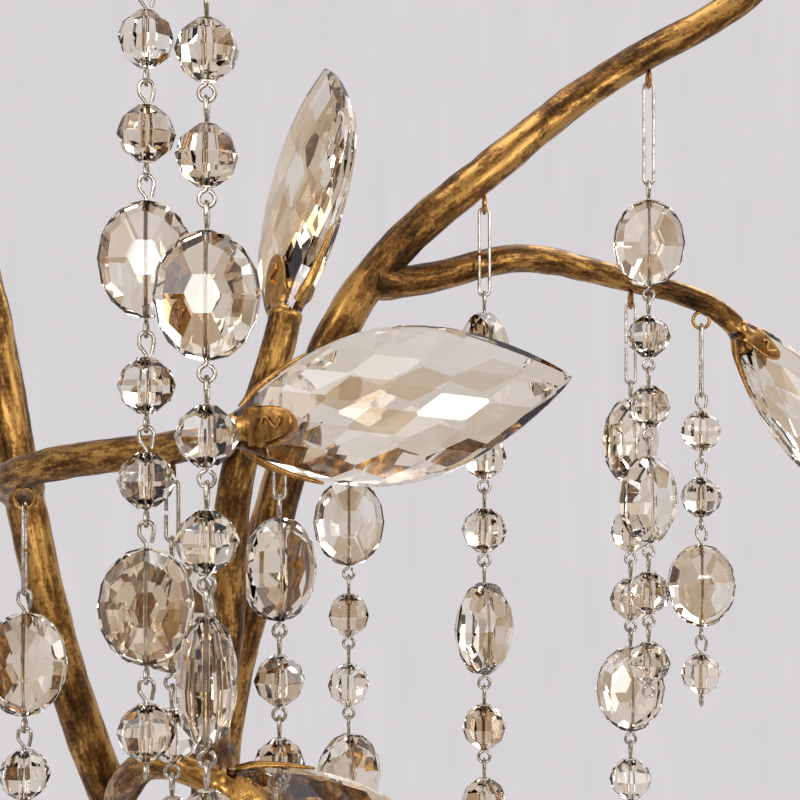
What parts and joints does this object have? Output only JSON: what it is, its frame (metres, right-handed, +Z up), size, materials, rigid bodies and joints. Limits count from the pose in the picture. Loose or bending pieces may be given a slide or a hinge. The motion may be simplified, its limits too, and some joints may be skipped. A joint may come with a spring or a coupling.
{
  "type": "crystal wall sconce",
  "caption": "Wall light of forged gilt branches on a dished wall plate, with candle lamps, leaf-shaped faceted crystals in claws and hanging strands of linked faceted beads that swing.",
  "frame": {"origin": "centre of the mounting bracket's rear face, on the wall box", "axes": "+Z up, +Y into the wall along the wall box screws, so the light stands out along -Y; +X to the right seen from the room"},
  "size_m": [0.4112, 0.264, 0.582],
  "materials": {
    "antique_gilt": "antique gold leaf over dark bronze, rubbed, satin",
    "bright_gilt": "bright warm gilt, polished",
    "nickel_wire": "bright nickel-plated wire",
    "champagne_crystal": "champagne lustre crystal, cut and polished",
    "lamp_glass": "clear lamp glass",
    "lamp_cap": "plain brass",
    "candle_sleeve": "ivory card and wax look",
    "lampholder": "black phenolic",
    "zinc_steel": "zinc-plated steel"
  },
  "bodies": {
    "frame": {"branch_collar": "antique_gilt", "branch_eyelets": "bright_gilt", "bulb_cap_left": "lamp_cap", "bulb_cap_right": "lamp_cap", "bulb_glass_left": "lamp_glass", "bulb_glass_right": "lamp_glass", "candle_sleeve_left": "candle_sleeve", "candle_sleeve_right": "candle_sleeve", "cap_nuts": "antique_gilt", "crown_branch": "antique_gilt", "earth_screw": "zinc_steel", "front_spur": "antique_gilt", "lamp_cup_left": "bright_gilt", "lamp_cup_right": "bright_gilt", "lampholder_left": "lampholder", "lampholder_right": "lampholder", "leaf_claws": "bright_gilt", "leaf_crystal_crown": "champagne_crystal", "leaf_crystal_left": "champagne_crystal", "leaf_crystal_low": "champagne_crystal", "leaf_crystal_right": "champagne_crystal", "leaf_crystal_side": "champagne_crystal", "leaf_crystal_upright": "champagne_crystal", "leaf_twig_low": "antique_gilt", "leaf_twig_side": "antique_gilt", "leaf_twig_upright": "antique_gilt", "lock_nut": "zinc_steel", "main_branch_left": "antique_gilt", "main_branch_right": "antique_gilt", "mounting_bracket": "zinc_steel", "plate_studs": "zinc_steel", "rear_spur": "antique_gilt", "side_twig_left": "antique_gilt", "side_twig_right": "antique_gilt", "threaded_nipple": "zinc_steel", "wall_plate": "antique_gilt"},
    "strand_01": {"strand_01_beads": "champagne_crystal", "strand_01_wires": "nickel_wire"},
    "strand_02": {"strand_02_beads": "champagne_crystal", "strand_02_wires": "nickel_wire"},
    "strand_03": {"strand_03_beads": "champagne_crystal", "strand_03_wires": "nickel_wire"},
    "strand_04": {"strand_04_beads": "champagne_crystal", "strand_04_wires": "nickel_wire"},
    "strand_05": {"strand_05_beads": "champagne_crystal", "strand_05_wires": "nickel_wire"},
    "strand_06": {"strand_06_beads": "champagne_crystal", "strand_06_wires": "nickel_wire"},
    "strand_07": {"strand_07_beads": "champagne_crystal", "strand_07_wires": "nickel_wire"},
    "strand_08": {"strand_08_beads": "champagne_crystal", "strand_08_wires": "nickel_wire"},
    "strand_09": {"strand_09_beads": "champagne_crystal", "strand_09_wires": "nickel_wire"},
    "strand_10": {"strand_10_beads": "champagne_crystal", "strand_10_wires": "nickel_wire"},
    "strand_11": {"strand_11_beads": "champagne_crystal", "strand_11_wires": "nickel_wire"},
    "strand_12": {"strand_12_beads": "champagne_crystal", "strand_12_wires": "nickel_wire"}
  },
  "joints": [
    {"name": "strand_01_swing", "type": "hinge", "parent": "frame", "child": "strand_01", "pos_m": [-0.00094, -0.22513, 0.35299], "axis": [0, 1, 0], "range_deg": [-15, 15]},
    {"name": "strand_02_swing", "type": "hinge", "parent": "frame", "child": "strand_02", "pos_m": [-0.01986, -0.18902, 0.36461], "axis": [1, 0, 0], "range_deg": [-15, 1.5]},
    {"name": "strand_03_swing", "type": "hinge", "parent": "frame", "child": "strand_03", "pos_m": [-0.01702, -0.16767, 0.18367], "axis": [0, 1, 0], "range_deg": [-7, 15]},
    {"name": "strand_04_swing", "type": "hinge", "parent": "frame", "child": "strand_04", "pos_m": [0.0077, -0.14106, 0.19648], "axis": [0, 1, 0], "range_deg": [-15, 3.5]},
    {"name": "strand_05_swing", "type": "hinge", "parent": "frame", "child": "strand_05", "pos_m": [0.02356, -0.06205, 0.19971], "axis": [0, 1, 0], "range_deg": [-15, 15]},
    {"name": "strand_06_swing", "type": "hinge", "parent": "frame", "child": "strand_06", "pos_m": [0.0655, -0.08921, 0.26151], "axis": [0, 1, 0], "range_deg": [-15, 4]},
    {"name": "strand_07_swing", "type": "hinge", "parent": "frame", "child": "strand_07", "pos_m": [0.11605, -0.04825, 0.23537], "axis": [0, 1, 0], "range_deg": [-6, 15]},
    {"name": "strand_08_swing", "type": "hinge", "parent": "frame", "child": "strand_08", "pos_m": [0.11936, -0.06424, 0.30481], "axis": [0, 1, 0], "range_deg": [-15, 8]},
    {"name": "strand_09_swing", "type": "hinge", "parent": "frame", "child": "strand_09", "pos_m": [0.1415, -0.03749, 0.22911], "axis": [1, 0, 0], "range_deg": [-15, 15]},
    {"name": "strand_10_swing", "type": "hinge", "parent": "frame", "child": "strand_10", "pos_m": [-0.06116, -0.13897, 0.17571], "axis": [1, 0, 0], "range_deg": [-15, 15]},
    {"name": "strand_11_swing", "type": "hinge", "parent": "frame", "child": "strand_11", "pos_m": [-0.12413, -0.07929, 0.30111], "axis": [1, 0, 0], "range_deg": [-15, 15]},
    {"name": "strand_12_swing", "type": "hinge", "parent": "frame", "child": "strand_12", "pos_m": [-0.14593, -0.1018, 0.24273], "axis": [1, 0, 0], "range_deg": [-15, 15]}
  ]
}
